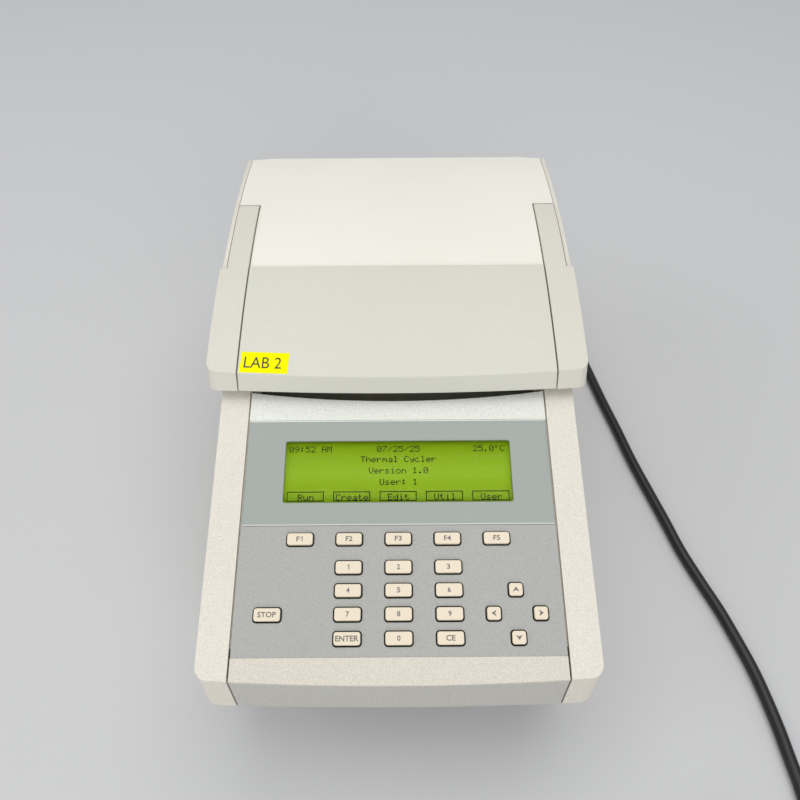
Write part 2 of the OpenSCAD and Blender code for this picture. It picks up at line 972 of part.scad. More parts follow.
module cord_tube() {
    color([0.06, 0.06, 0.06]) {
        tube(cord_route, cord_d / 2, cord_sides);
        tube(cord_tail, cord_d / 2, cord_sides);
    }
}

module cord_coil() {
    color([0.06, 0.06, 0.06])
        translate([coil_centre[0], coil_centre[1], 0])
            rotate_extrude($fn = 96)
                translate([coil_r - 1.5 * cord_d, 0])
                    square([3 * cord_d, 2 * cord_d]);
}

module mains_plug() {
    plug_end = cord_tail[len(cord_tail) - 1];
    color([0.08, 0.08, 0.08])
        translate(plug_end)
            rotate([0, -90, 0]) {
                cylinder(r1 = 5, r2 = 7.5, h = 24);
                translate([0, 0, 24])
                    slab(22, 26, 26, 5);
            }
    color([0.8, 0.75, 0.6])
        translate([plug_end[0] - 50, plug_end[1], plug_end[2]]) {
            for (s = [-1, 1])
                box([-16, 0.5], [s * 6.35 - 0.8, s * 6.35 + 0.8], [-1.5, 4.8]);
            translate([0.5, 0, -6])
                rotate([0, -90, 0])
                    cylinder(r = 2.4, h = 20);
        }
}

base_tray();
side_shell_left();
side_shell_right();
front_panel();
display_bezel();
display_window();
lcd_module();
keypad_plate();
keypad_board();
block_deck();
block_gasket();
sample_block();
peltier_modules();
heat_sink();
fan_frame();
fan_rotor();
rear_panel();
power_supply();
main_board();
power_inlet();
fuse_drawer();
power_switch();
feet();
case_screws();
hinge_brackets();
lid_shell();
lid_cover();
plate_springs();
heated_plate();
lever_panel();
lever_arm_left();
lever_arm_right();
latch_hooks();
key(0);  // key_f1
key(1);  // key_f2
key(2);  // key_f3
key(3);  // key_f4
key(4);  // key_f5
key(5);  // key_1
key(6);  // key_2
key(7);  // key_3
key(8);  // key_4
key(9);  // key_5
key(10);  // key_6
key(11);  // key_7
key(12);  // key_8
key(13);  // key_9
key(14);  // key_enter
key(15);  // key_0
key(16);  // key_ce
key(17);  // key_stop
key(18);  // key_up
key(19);  // key_down
key(20);  // key_left
key(21);  // key_right
cord_connector();
cord_tube();
cord_coil();
mains_plug();
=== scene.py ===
"""Looks for the thermal cycler: camera, mains lead, materials, key legends, display and label."""

import json
import math
import re

import bmesh
import bpy
from mathutils import Euler, Matrix, Vector


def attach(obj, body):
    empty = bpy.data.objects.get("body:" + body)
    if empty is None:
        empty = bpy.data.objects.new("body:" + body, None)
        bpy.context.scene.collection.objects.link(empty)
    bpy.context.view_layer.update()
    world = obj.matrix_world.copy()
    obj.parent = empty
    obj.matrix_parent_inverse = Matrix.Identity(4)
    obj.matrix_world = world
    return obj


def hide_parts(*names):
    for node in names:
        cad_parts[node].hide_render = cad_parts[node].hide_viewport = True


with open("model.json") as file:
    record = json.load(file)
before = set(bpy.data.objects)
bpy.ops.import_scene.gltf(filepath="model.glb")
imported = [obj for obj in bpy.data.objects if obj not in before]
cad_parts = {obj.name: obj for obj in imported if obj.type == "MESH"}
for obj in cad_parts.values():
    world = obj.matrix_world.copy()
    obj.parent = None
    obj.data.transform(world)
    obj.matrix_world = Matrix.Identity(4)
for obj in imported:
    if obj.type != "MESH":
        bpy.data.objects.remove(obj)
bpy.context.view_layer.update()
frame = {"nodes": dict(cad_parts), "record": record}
nodes = frame["nodes"]
scene = bpy.context.scene
MM = 0.001


def add_object(name, data):
    """A new object in the scene."""
    made = bpy.data.objects.new(name, data)
    scene.collection.objects.link(made)
    return made


# ---- Camera: the photograph's viewing angle ----

CAMERA_PLACE = (1.5, -344.5, 515)
CAMERA_PITCH = 40.3  # degrees up from straight down
CAMERA_ROLL = -0.4
CAMERA_LENS = 34.56
CAMERA_SENSOR = 36
CAMERA_NEAREST = 10

camera = add_object("camera", bpy.data.cameras.new("camera"))
camera.location = Vector(CAMERA_PLACE) * MM
tilt = Euler((math.radians(CAMERA_PITCH), 0, 0)).to_matrix()
camera.rotation_euler = (tilt @ Matrix.Rotation(math.radians(CAMERA_ROLL), 3, "Z")).to_euler()
camera.data.lens = CAMERA_LENS
camera.data.sensor_width = CAMERA_SENSOR
camera.data.clip_start = CAMERA_NEAREST * MM
scene.camera = camera


# ---- Mains lead ----

CORD_D = 8 * MM
# The lead's places up to its coil, and from the coil to its plug
CORD_ROUTE = [
    (70, 256, 47), (71, 268, 46), (77, 284, 42.5), (88, 295, 36), (103, 301, 27),
    (119, 301, 18), (134, 295, 11), (146, 284, 6.5), (152, 268, 4.5), (154, 250, 4),
    (156, 230, 4), (159, 200, 4), (164, 155, 4), (170, 125, 4),
    (177, 87, 4), (184, 54, 4), (190, 23, 4), (197, -6, 4), (204, -34, 4), (210, -60, 4),
    (218, -85, 4), (226, -108, 4), (232, -130, 4), (237, -151, 4), (240, -171, 4),
    (242, -190, 4), (243, -207, 4), (244, -222, 4), (244, -245, 4), (244, -270, 4)]
CORD_TAIL = [(178, -344, 12), (164, -344, 12), (153, -344, 11.5), (142, -344, 11)]
COIL_CENTRE = (192, -300)
# The coil's turns in order: radius and height of each, then how far it goes round
COIL_TURNS = [(52, 4, 1), (44, 4, 1), (36, 4, 1), (36, 12, 1), (44, 12, 0.25)]
COIL_STEPS = 24
COIL_CROSSING = 6  # steps over which one turn passes to the next
PATH_STEPS = 4  # points of the smooth path for each place on the route
ROD_SIDES = 5  # how finely a rod's section is rounded


def coil_points():
    """Points clockwise round the coil, each turn stepping to the next at its end."""
    points = []
    for turn, (r, z, share) in enumerate(COIL_TURNS):
        steps = round(COIL_STEPS * share)
        for i in range(steps):
            to_go = steps - i
            radius, height = r, z
            if share == 1 and to_go < COIL_CROSSING:
                part = 1 - to_go / COIL_CROSSING
                radius += (COIL_TURNS[turn + 1][0] - r) * part
                height += (COIL_TURNS[turn + 1][1] - z) * part
            angle = -math.tau * i / COIL_STEPS
            points.append((
                COIL_CENTRE[0] + radius * math.cos(angle),
                COIL_CENTRE[1] + radius * math.sin(angle),
                height))
    last_r, last_z, _ = COIL_TURNS[-1]
    return points + [(COIL_CENTRE[0], COIL_CENTRE[1] - last_r, last_z)]


def smooth_path(points, steps, lowest):
    """Points of a smooth curve through all the given ones, never under the lowest height."""
    longer = [2 * points[0] - points[1], *points, 2 * points[-1] - points[-2]]
    path = []
    for a, b, c, d in zip(longer, longer[1:], longer[2:], longer[3:]):
        for i in range(steps):
            t = i / steps
            place = (2 * b + (c - a) * t + (2 * a - 5 * b + 4 * c - d) * t ** 2
                     + (3 * b - a - 3 * c + d) * t ** 3) / 2
            path.append(Vector((place.x, place.y, max(place.z, lowest))))
    return path + [points[-1]]


def add_curve(name, points, radius, cyclic=False):
    """A round rod along the points, with closed ends; each point carries the radius."""
    curve = bpy.data.curves.new(name, "CURVE")
    curve.dimensions = "3D"
    curve.bevel_depth = 1
    curve.bevel_resolution = ROD_SIDES
    curve.use_fill_caps = True
    spline = curve.splines.new("POLY")
    spline.points.add(len(points) - 1)
    for point, place in zip(spline.points, points):
        point.co = (*place, 1)
        point.radius = radius
    spline.use_smooth = True
    spline.use_cyclic_u = cyclic
    return add_object(name, curve)


cord_places = [Vector(p) * MM for p in CORD_ROUTE + coil_points() + CORD_TAIL]
cord = add_curve("mains_lead", smooth_path(cord_places, PATH_STEPS, CORD_D / 2), CORD_D / 2)
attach(cord, "base")
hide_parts("cord_tube", "cord_coil")
Vector(CORD_ROUTE[0]) * MM


# ---- The control panel's own frame: X across, Y up its slope, Z square to it ----

PANEL_SLOPE = math.radians(14.8)
PANEL_FRONT = Vector((0, -200, 114.7))
PANEL_FRAME = Matrix.Translation(PANEL_FRONT * MM) @ Matrix.Rotation(PANEL_SLOPE, 4, "X")
PANEL_UP = Vector((0, -math.sin(PANEL_SLOPE), math.cos(PANEL_SLOPE)))
PANEL_REAR = Vector((0, math.cos(PANEL_SLOPE), math.sin(PANEL_SLOPE)))


def top_of(name):
    """The panel's frame moved to the middle of a node's top."""
    into_panel = PANEL_FRAME.inverted() @ nodes[name].matrix_world
    spread = list(zip(*(into_panel @ vertex.co for vertex in nodes[name].data.vertices)))
    middle = [(min(along) + max(along)) / 2 for along in spread[:2]]
    return PANEL_FRAME @ Matrix.Translation((*middle, max(spread[2])))


# ---- Materials ----

BROAD_SCALE = 9.0  # broad unevenness: waves per metre, and the colour at its darkest
BROAD_TINT = (0.975, 0.975, 0.97)
METAL_LINE_DEPTH = 0.04 * MM


def new_material(name, colour, roughness, metallic=0.0, coat=0.0, specular=0.5):
    """A material with one shader, and its tree and shader to add to."""
    material = bpy.data.materials.new(name)
    material.use_nodes = True
    shader = material.node_tree.nodes["Principled BSDF"]
    shader.inputs["Base Color"].default_value = (*colour, 1)
    shader.inputs["Roughness"].default_value = roughness
    shader.inputs["Metallic"].default_value = metallic
    shader.inputs["Coat Weight"].default_value = coat
    shader.inputs["Specular IOR Level"].default_value = specular
    return material, material.node_tree, shader


def noise(tree, scale, detail=2.0, roughness=0.5):
    """Noise over the surface, in the frame's own metres."""
    where = tree.nodes.new("ShaderNodeTexCoord")
    texture = tree.nodes.new("ShaderNodeTexNoise")
    texture.inputs["Scale"].default_value = scale
    texture.inputs["Detail"].default_value = detail
    texture.inputs["Roughness"].default_value = roughness
    tree.links.new(where.outputs["Object"], texture.inputs["Vector"])
    return texture.outputs["Fac"]


def map_range(tree, value, low, high, start=0.0, end=1.0):
    """Goes from low to high as a value goes from start to end, and no further."""
    mapped = tree.nodes.new("ShaderNodeMapRange")
    mapped.inputs["From Min"].default_value = start
    mapped.inputs["From Max"].default_value = end
    mapped.inputs["To Min"].default_value = low
    mapped.inputs["To Max"].default_value = high
    tree.links.new(value, mapped.inputs["Value"])
    return mapped.outputs["Result"]


def product(tree, numbers):
    """All the numbers multiplied together."""
    total = numbers[0]
    for number in numbers[1:]:
        both = tree.nodes.new("ShaderNodeMath")
        both.operation = "MULTIPLY"
        tree.links.new(total, both.inputs[0])
        tree.links.new(number, both.inputs[1])
        total = both.outputs["Value"]
    return total


def multiply_colour(tree, colour):
    """A node that multiplies a colour by its input B, as far as its Factor says."""
    mix = tree.nodes.new("ShaderNodeMix")
    mix.data_type = "RGBA"
    mix.blend_type = "MULTIPLY"
    mix.clamp_result = True
    mix.inputs["Factor"].default_value = 1.0
    tree.links.new(colour, mix.inputs["A"])
    return mix


def blend_colours(tree, value, dark, light, low=0.35, high=0.65):
    """Goes from the dark colour to the light one as a value goes from low to high."""
    mix = tree.nodes.new("ShaderNodeValToRGB")
    mix.color_ramp.elements[0].position = low
    mix.color_ramp.elements[1].position = high
    mix.color_ramp.elements[0].color = (*dark, 1)
    mix.color_ramp.elements[1].color = (*light, 1)
    tree.links.new(value, mix.inputs["Fac"])
    return mix.outputs["Color"]


def bump(tree, shader, value, strength, depth):
    """Raises and lowers the surface with a value, by up to a depth in metres."""
    node = tree.nodes.new("ShaderNodeBump")
    node.inputs["Strength"].default_value = strength
    node.inputs["Distance"].default_value = depth
    tree.links.new(value, node.inputs["Height"])
    tree.links.new(node.outputs["Normal"], shader.inputs["Normal"])


def scaled(colour, factor):
    """A lighter or darker colour."""
    return tuple(min(1.0, c * factor) for c in colour)


def moulded(name, colour, roughness=0.55, grain=1400, grain_depth=0.00008, speckle=0.03,
            strength=0.35, coat=0.0, specular=0.5):
    """Moulded plastic: an eroded texture, faint speckle and faint broad unevenness."""
    material, tree, shader = new_material(name, colour, roughness, coat=coat, specular=specular)
    fine = noise(tree, grain, 3.0, 0.6)
    broad = noise(tree, BROAD_SCALE)
    speckled = blend_colours(tree, fine, scaled(colour, 1 - speckle), scaled(colour, 1 + speckle))
    uneven = multiply_colour(tree, speckled)
    tree.links.new(blend_colours(tree, broad, BROAD_TINT, (1, 1, 1)), uneven.inputs["B"])
    tree.links.new(uneven.outputs["Result"], shader.inputs["Base Color"])
    tree.links.new(map_range(tree, broad, roughness - 0.05, roughness + 0.05),
                   shader.inputs["Roughness"])
    bump(tree, shader, fine, strength, grain_depth)
    return material


def metal(name, colour, roughness, grain):
    """Machined or rolled metal; its grain has so many lines per metre along each axis."""
    material, tree, shader = new_material(name, colour, roughness, metallic=1.0)
    where = tree.nodes.new("ShaderNodeTexCoord")
    stretch = tree.nodes.new("ShaderNodeMapping")
    stretch.inputs["Scale"].default_value = grain
    lines = tree.nodes.new("ShaderNodeTexNoise")
    lines.inputs["Scale"].default_value = 1.0
    lines.inputs["Detail"].default_value = 3.0
    tree.links.new(where.outputs["Object"], stretch.inputs["Vector"])
    tree.links.new(stretch.outputs["Vector"], lines.inputs["Vector"])
    height = lines.outputs["Fac"]
    tree.links.new(map_range(tree, height, roughness - 0.08, roughness + 0.1),
                   shader.inputs["Roughness"])
    tree.links.new(blend_colours(tree, height, scaled(colour, 0.9), scaled(colour, 1.05)),
                   shader.inputs["Base Color"])
    bump(tree, shader, height, 0.15, METAL_LINE_DEPTH)
    return material


def level(tree, direction, start, end):
    """Rises from 0 to 1 as a place goes along a direction from start to end, in millimetres."""
    where = tree.nodes.new("ShaderNodeTexCoord")
    along = tree.nodes.new("ShaderNodeVectorMath")
    along.operation = "DOT_PRODUCT"
    along.inputs[1].default_value = direction
    tree.links.new(where.outputs["Object"], along.inputs[0])
    return map_range(tree, along.outputs["Value"], 0, 1, start * MM, end * MM)


def tint(material, colour, *where):
    """Multiplies a material's colour where every (direction, start, end) level is passed."""
    tree = material.node_tree
    base = tree.nodes["Principled BSDF"].inputs["Base Color"]
    mix = multiply_colour(tree, base.links[0].from_socket)
    mix.inputs["B"].default_value = (*colour, 1)
    share = product(tree, [level(tree, *place) for place in where])
    tree.links.new(share, mix.inputs["Factor"])
    tree.links.new(mix.outputs["Result"], base)
    return material


def srgb(r, g, b):
    """A colour as seen on a screen, 0 to 255, as the shader's linear numbers."""
    return tuple(((c / 255 + 0.055) / 1.055) ** 2.4 if c > 10 else c / 255 / 12.92
                 for c in (r, g, b))


def below_panel(start, end):
    """A place for tint: from one height over the control panel down to another."""
    height = PANEL_FRONT.dot(PANEL_UP)
    return PANEL_UP, height + start, height + end


def up_slope(start, end):
    """A place for tint: from one distance up the control panel's slope to another."""
    front = PANEL_FRONT.dot(PANEL_REAR)
    return PANEL_REAR, front + start, front + end


def panel_material():
    """The front panel: warm at the front, cooler at the rear; painted shade on its front face and
    in the hand recess.
    """
    material = moulded("panel_cream_plastic", CREAM, 0.5, grain=1100, speckle=0.1,
                       grain_depth=0.00015)
    tint(material, (0.88, 0.81, 0.76), up_slope(90, 20))
    # Painted shade: below its top edge the front face is darker and a little cool, as a side face
    # in shade.
    front_top = PANEL_FRONT.z
    tint(material, (0.76, 0.79, 0.85), (Vector((0, 0, 1)), front_top - 0.5, front_top - 1.5))
    # Painted shade: the hand recess under the lid's lip, darkened where the lid's shadow falls in
    # it.
    return tint(material, (0.36, 0.35, 0.31), up_slope(160, 162), below_panel(-0.5, -2))


def bezel_material():
    """The display's film, with a painted highlight along its front and rear edges."""
    material = moulded("bezel_film", srgb(155, 162, 156), 0.3, grain=1500, speckle=0.02,
                       grain_depth=0.00003, coat=0.2)
    # Painted highlight: a bright line along the film's front edge.
    tint(material, (2.0, 1.8, 1.9), up_slope(87.0, 86.8))
    # Painted highlight: a bright line along the film's rear edge.
    return tint(material, (2.2, 2.1, 2.1), up_slope(150.5, 150.7))


def window_material():
    """The clear window: thin, with a trace of haze."""
    material, tree, shader = new_material("clear_window", (1, 1, 1), 0.04)
    shader.inputs["Transmission Weight"].default_value = 1.0
    shader.inputs["IOR"].default_value = 1.1
    tree.links.new(map_range(tree, noise(tree, 60), 0.0, 0.03), shader.inputs["Roughness"])
    return material


def display_material():
    """The lit panel: yellow-green, with painted shade towards its edges."""
    material, tree, shader = new_material("display_glow", DISPLAY_LIT, 0.5, specular=0.15)
    where = tree.nodes.new("ShaderNodeTexCoord")
    split = tree.nodes.new("ShaderNodeSeparateXYZ")
    tree.links.new(where.outputs["Generated"], split.inputs["Vector"])
    # Painted shade: the panel falls towards a darker colour at its edges, where the window's rim
    # shades it.
    edge_shades = [map_range(tree, split.outputs[axis], DISPLAY_SHADE_LEVEL, 1.0, start, end)
             for axis, soft in (("X", 0.05), ("Y", 0.14))
             for start, end in ((0.0, soft), (1.0, 1 - soft))]
    colour = blend_colours(tree, product(tree, edge_shades), DISPLAY_SHADED, DISPLAY_LIT, 0.3, 1.0)
    tree.links.new(colour, shader.inputs["Base Color"])
    tree.links.new(colour, shader.inputs["Emission Color"])
    shader.inputs["Emission Strength"].default_value = 0.25
    bump(tree, shader, noise(tree, 900, 1.0), 0.05, 0.00002)
    return material


BEIGE = srgb(227, 221, 208)
CREAM = srgb(230, 232, 223)
COVER = srgb(242, 240, 228)
LEVER = srgb(216, 215, 202)
ARM = srgb(219, 215, 202)
DISPLAY_LIT = srgb(131, 167, 20)
# Painted shade at the display's edges: the colour it falls to, and how far the edges fall towards
# it.
DISPLAY_SHADED = srgb(84, 98, 16)
DISPLAY_SHADE_LEVEL = 0.35
# The colour of painted shade down in the gaps round the keys.
GAP_SHADE = (0.02, 0.02, 0.02)
MATERIALS = {
    "shell_beige": moulded("shell_beige_plastic", BEIGE, 0.5, grain=1000, speckle=0.08),
    "panel_cream": panel_material(),
    "deck_grey": moulded("deck_plastic", srgb(214, 212, 203), 0.5),
    "lever_grey": moulded("lever_plastic", LEVER, 0.5, grain=1300, speckle=0.04),
    "cover_white": moulded("cover_plastic", COVER, 0.42, grain=700, speckle=0.008,
                           grain_depth=0.00002, strength=0.15),
    "bezel_grey": bezel_material(),
    # Painted shade: the walls of the key holes darken below the panel's top, in the gaps round
    # the keys.
    "keypad_grey": tint(
        moulded("keypad_plastic", srgb(174, 174, 170), 0.55, grain=1000, speckle=0.07,
                grain_depth=0.0001), GAP_SHADE, below_panel(-0.45, -0.75)),
    # Painted shade: the keys' sides darken down in the gaps, below the panel's top.
    "key_cream": tint(
        moulded("key_plastic", srgb(236, 222, 198), 0.4, grain=900, speckle=0.01,
                grain_depth=0.00002, strength=0.15), GAP_SHADE, below_panel(0.3, -0.6)),
    "display_green": display_material(),
    "window_clear": window_material(),
    "board_green": moulded("board_lacquer", srgb(24, 92, 52), 0.35, grain=400, speckle=0.1),
    "gasket_rubber": moulded("gasket_silicone", srgb(60, 60, 60), 0.7, grain=500),
    "foot_rubber": moulded("foot_rubber_moulded", srgb(38, 38, 38), 0.75, grain=500),
    "block_metal": metal("block_anodised", srgb(205, 206, 210), 0.32, (300, 300, 300)),
    "sink_metal": metal("sink_extruded", srgb(190, 192, 196), 0.4, (900, 20, 900)),
    "plate_metal": metal("plate_machined", srgb(198, 200, 204), 0.3, (20, 900, 900)),
    "ceramic_white": moulded("ceramic_fired", srgb(236, 234, 226), 0.3, grain=500),
    "black_plastic": moulded("black_moulding", srgb(32, 32, 33), 0.45, grain=900, speckle=0.08),
    "tray_metal": moulded("powder_coat", srgb(190, 189, 184), 0.5, grain=800, speckle=0.04,
                          grain_depth=0.00015),
    "sheet_steel": metal("zinc_plate", srgb(186, 188, 190), 0.35, (20, 700, 700)),
    "spring_steel": metal("spring_wire", srgb(190, 190, 194), 0.25, (600, 600, 600)),
    "cord_black": moulded("cord_vinyl", srgb(20, 20, 21), 0.35, grain=500, speckle=0.1,
                          grain_depth=0.00003),
}
arm_plastic = moulded("arm_plastic", ARM, 0.5, grain=1200, speckle=0.05)
OWN_MATERIAL = {"lever_arm_left": arm_plastic, "lever_arm_right": arm_plastic}
slot_of = {s["node"]: s["material_slot"] for s in frame["record"]["subparts"]}
cord.data.materials.append(MATERIALS["cord_black"])


# ---- Edges: every moulded or machined piece has its sharp edges rounded ----

# The rounding's width for each material, in millimetres
EDGE = {
    "shell_beige": 0.8, "panel_cream": 0.8, "lever_grey": 0.6, "cover_white": 0.6,
    "deck_grey": 0.7, "bezel_grey": 0.35, "keypad_grey": 0.35, "key_cream": 0.55,
    "tray_metal": 0.4, "black_plastic": 0.4, "foot_rubber": 0.8, "block_metal": 0.3,
    "plate_metal": 0.5, "sheet_steel": 0.25, "gasket_rubber": 0.5, "cord_black": 0.5,
}
SHARP = math.radians(22)
FLAT = math.radians(0.5)
WELD_DISTANCE = 0.01 * MM
ROUND_STEPS = 3


def round_edges(node, width):
    """Merges flat triangles into faces and bevels the sharp edges."""
    flat = node.modifiers.new("flat", "DECIMATE")
    flat.decimate_type = "DISSOLVE"
    flat.angle_limit = FLAT
    bevel = node.modifiers.new("bevel", "BEVEL")
    bevel.width = width * MM
    bevel.segments = ROUND_STEPS
    bevel.limit_method = "ANGLE"
    bevel.angle_limit = SHARP
    bevel.harden_normals = False
    bevel.use_clamp_overlap = True
    weighted = node.modifiers.new("weighted", "WEIGHTED_NORMAL")
    weighted.keep_sharp = True


def shade_smooth(node):
    """Smooth shading worked out from the faces, in place of any stored normals."""
    mesh = node.data
    mesh.polygons.foreach_set("use_smooth", [True] * len(mesh.polygons))
    if mesh.has_custom_normals:
        with bpy.context.temp_override(object=node, active_object=node):
            bpy.context.view_layer.objects.active = node
            bpy.ops.mesh.customdata_custom_splitnormals_clear()


for name, node in nodes.items():
    node.data.materials.clear()
    node.data.materials.append(OWN_MATERIAL.get(name, MATERIALS[slot_of[name]]))
    shade_smooth(node)
    weld = node.modifiers.new("weld", "WELD")
    weld.merge_threshold = WELD_DISTANCE
    if slot_of[name] in EDGE:
        round_edges(node, EDGE[slot_of[name]])


# ---- Small pieces ----

PRINT_T = 0.03 * MM
LETTER_STEPS = 3  # points along each curve of a letter


def add_piece(name, mesh, material, body, place=None):
    """A mesh as a piece of its own, moving with a body."""
    piece = add_object(name, mesh)
    mesh.materials.append(material)
    if place is not None:
        piece.matrix_world = place
    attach(piece, body)


def add_prism(shape, outline, low, high):
    """Adds an upright prism over an anticlockwise outline to a bmesh."""
    bottom = [shape.verts.new((x, y, low)) for x, y in outline]
    top = [shape.verts.new((x, y, high)) for x, y in outline]
    shape.faces.new(bottom[::-1])
    shape.faces.new(top)
    for i in range(len(outline)):
        j = (i + 1) % len(outline)
        shape.faces.new((bottom[i], bottom[j], top[j], top[i]))


def mesh_from(shape, name):
    """A bmesh as a mesh with a name."""
    mesh = bpy.data.meshes.new(name)
    shape.to_mesh(mesh)
    shape.free()
    return mesh


def lettering(text, width, height, bold=0.0):
    """A mesh of the letters, centred, scaled to a width and height and to a print's thickness."""
    curve = bpy.data.curves.new("letters", "FONT")
    curve.body = text
    curve.extrude = 0.01
    curve.offset = bold
    curve.resolution_u = LETTER_STEPS
    letters = bpy.data.objects.new("letters", curve)
    mesh = bpy.data.meshes.new_from_object(letters)
    bpy.data.objects.remove(letters)
    bpy.data.curves.remove(curve)
    low = [min(v.co[i] for v in mesh.vertices) for i in range(3)]
    high = [max(v.co[i] for v in mesh.vertices) for i in range(3)]
    sizes = (width * MM, height * MM, PRINT_T)
    for vertex in mesh.vertices:
        for i in range(3):
            part = (vertex.co[i] - low[i]) / (high[i] - low[i])
            vertex.co[i] = (part - (0 if i == 2 else 0.5)) * sizes[i]
    return mesh


# ---- Key legends ----

DIGIT_W = 1.8
DIGIT_H = 2.9
# Each legend's key and text, and its width and height in millimetres
LEGENDS = [(f"f{i}", f"F{i}", 3.9, DIGIT_H) for i in range(1, 6)]
LEGENDS += [(str(i), str(i), DIGIT_W, DIGIT_H) for i in range(10)]
LEGENDS += [("enter", "ENTER", 12.4, 3.0), ("ce", "CE", 5.0, 3.0), ("stop", "STOP", 10.0, 3.0)]
ARROW_TURNS = {"up": 0, "down": 180, "left": 90, "right": -90}
ARROW_MARK = [(-1.8, -1.3), (0, -0.5), (1.8, -1.3), (0, 1.4)]
LETTER_BOLD = 0.022
# The figure one, as a share of its height: a stem with a flag
ONE_MARK = [(0, -0.5), (0.17, -0.5), (0.17, 0.5), (0.05, 0.5), (-0.22, 0.33), (-0.22, 0.17),
            (0, 0.29)]
ONE_AFTER_F = 1.1  # how far the figure one of F1 stands right of the key's middle


def flat_mark(shape, outline, name):
    """A print in the shape of an outline in millimetres, added to what a bmesh holds."""
    add_prism(shape, [(x * MM, y * MM) for x, y in outline], 0, PRINT_T)
    return mesh_from(shape, name)


def key_mark(text, width, height):
    """A key's letters; a figure one in them is drawn from its own outline."""
    if "1" not in text:
        return lettering(text, width, height, LETTER_BOLD)
    shape = bmesh.new()
    middle = 0
    if text != "1":
        shape.from_mesh(lettering(text[0], DIGIT_W, height, LETTER_BOLD))
        bmesh.ops.translate(shape, vec=((DIGIT_W - width) / 2 * MM, 0, 0), verts=shape.verts)
        middle = ONE_AFTER_F
    return flat_mark(shape, [(middle + x * height, y * height) for x, y in ONE_MARK],
                     f"mark_{text}")


legend_ink = moulded("legend_ink", srgb(116, 112, 108), 0.6, grain=900, speckle=0.02,
                     grain_depth=0.00001)
for key, text, width, height in LEGENDS:
    add_piece(f"legend_{key}", key_mark(text, width, height), legend_ink, f"key_{key}",
              top_of(f"key_{key}"))
for key, turn in ARROW_TURNS.items():
    spin = Matrix.Rotation(math.radians(turn), 4, "Z")
    add_piece(f"legend_{key}", flat_mark(bmesh.new(), ARROW_MARK, f"legend_{key}"),
              legend_ink, f"key_{key}", top_of(f"key_{key}") @ spin)


# ---- Display: dark dots on the lit panel ----

DOT_PITCH = 0.54 * MM
DOT_HEIGHT = 0.03 * MM
DOT_LIFT = 0.01 * MM
LCD_COLUMNS = 240
LCD_ROWS = 64
CHARACTER_PITCH = 6
# Each character is seven rows of five dots
GLYPHS = {
    " ": "",
    "0": ".###. #...# #..## #.#.# ##..# #...# .###.",
    "1": "..#.. .##.. ..#.. ..#.. ..#.. ..#.. .###.",
    "2": ".###. #...# ....# ...#. ..#.. .#... #####",
    "5": "##### #.... ####. ....# ....# #...# .###.",
    "7": "##### ....# ...#. ..#.. .#... .#... .#...",
    "9": ".###. #...# #...# .#### ....# ...#. .##..",
    ":": "..... .##.. .##.. ..... .##.. .##.. .....",
    ".": "..... ..... ..... ..... ..... .##.. .##..",
    "/": "..... ....# ...#. ..#.. .#... #.... .....",
    "*": ".##.. #..#. .##.. ..... ..... ..... .....",
    "A": ".###. #...# #...# ##### #...# #...# #...#",
    "C": ".###. #...# #.... #.... #.... #...# .###.",
    "E": "##### #.... #.... ####. #.... #.... #####",
    "M": "#...# ##.## #.#.# #.#.# #...# #...# #...#",
    "R": "####. #...# #...# ####. #.#.. #..#. #...#",
    "T": "##### ..#.. ..#.. ..#.. ..#.. ..#.. ..#..",
    "U": "#...# #...# #...# #...# #...# #...# .###.",
    "V": "#...# #...# #...# #...# #...# .#.#. ..#..",
    "a": "..... ..... .###. ....# .#### #...# .####",
    "c": "..... ..... .###. #.... #.... #...# .###.",
    "d": "....# ....# .##.# #..## #...# #...# .####",
    "e": "..... ..... .###. #...# ##### #.... .###.",
    "h": "#.... #.... #.##. ##..# #...# #...# #...#",
    "i": "..#.. ..... .##.. ..#.. ..#.. ..#.. .###.",
    "l": ".##.. ..#.. ..#.. ..#.. ..#.. ..#.. .###.",
    "m": "..... ..... ##.#. #.#.# #.#.# #...# #...#",
    "n": "..... ..... #.##. ##..# #...# #...# #...#",
    "o": "..... ..... .###. #...# #...# #...# .###.",
    "r": "..... ..... #.##. ##..# #.... #.... #....",
    "s": "..... ..... .###. #.... .###. ....# ####.",
    "t": ".#... .#... ###.. .#... .#... .#..# ..##.",
    "u": "..... ..... #...# #...# #...# #..## .##.#",
    "y": "..... ..... #...# #...# .#### ....# .###.",
}
# Text, its first column of dots and its top row of dots
LCD_TEXT = [("09:52 AM", 0, 1), ("07/25/25", 97, 1), ("25.0*C", 203, 1),
            ("Thermal Cycler", 79, 13), ("Version 1.0", 88, 26), ("User: 1", 100, 39),
            ("Run", 12, 56), ("Create", 53, 56), ("Edit", 109, 56), ("Util", 159, 56),
            ("User", 209, 56)]
# Each box's left and right columns and its top and bottom rows
LCD_BOXES = [(50 * i, 50 * i + 40, 53, 63) for i in range(5)]


def lcd_runs():
    """Runs of dark dots as (first column, column after the last, row)."""
    for text, left, top in LCD_TEXT:
        for place, letter in enumerate(text):
            for row, dots in enumerate(GLYPHS[letter].split()):
                for run in re.finditer("#+", dots):
                    start = left + place * CHARACTER_PITCH
                    yield start + run.start(), start + run.end(), top + row
    for left, right, top, bottom in LCD_BOXES:
        yield left, right, top
        yield left, right, bottom
        for row in range(top + 1, bottom):
            yield left, left + 1, row
            yield right - 1, right, row


def lcd_mesh():
    """All the dark dots, each run of them as one bar."""
    shape = bmesh.new()
    for first, end, row in lcd_runs():
        left, right = ((column - LCD_COLUMNS / 2) * DOT_PITCH for column in (first, end))
        top = (LCD_ROWS / 2 - row) * DOT_PITCH
        low = top - DOT_PITCH
        add_prism(shape, [(left, low), (right, low), (right, top), (left, top)], 0, DOT_HEIGHT)
    return mesh_from(shape, "display_dots")


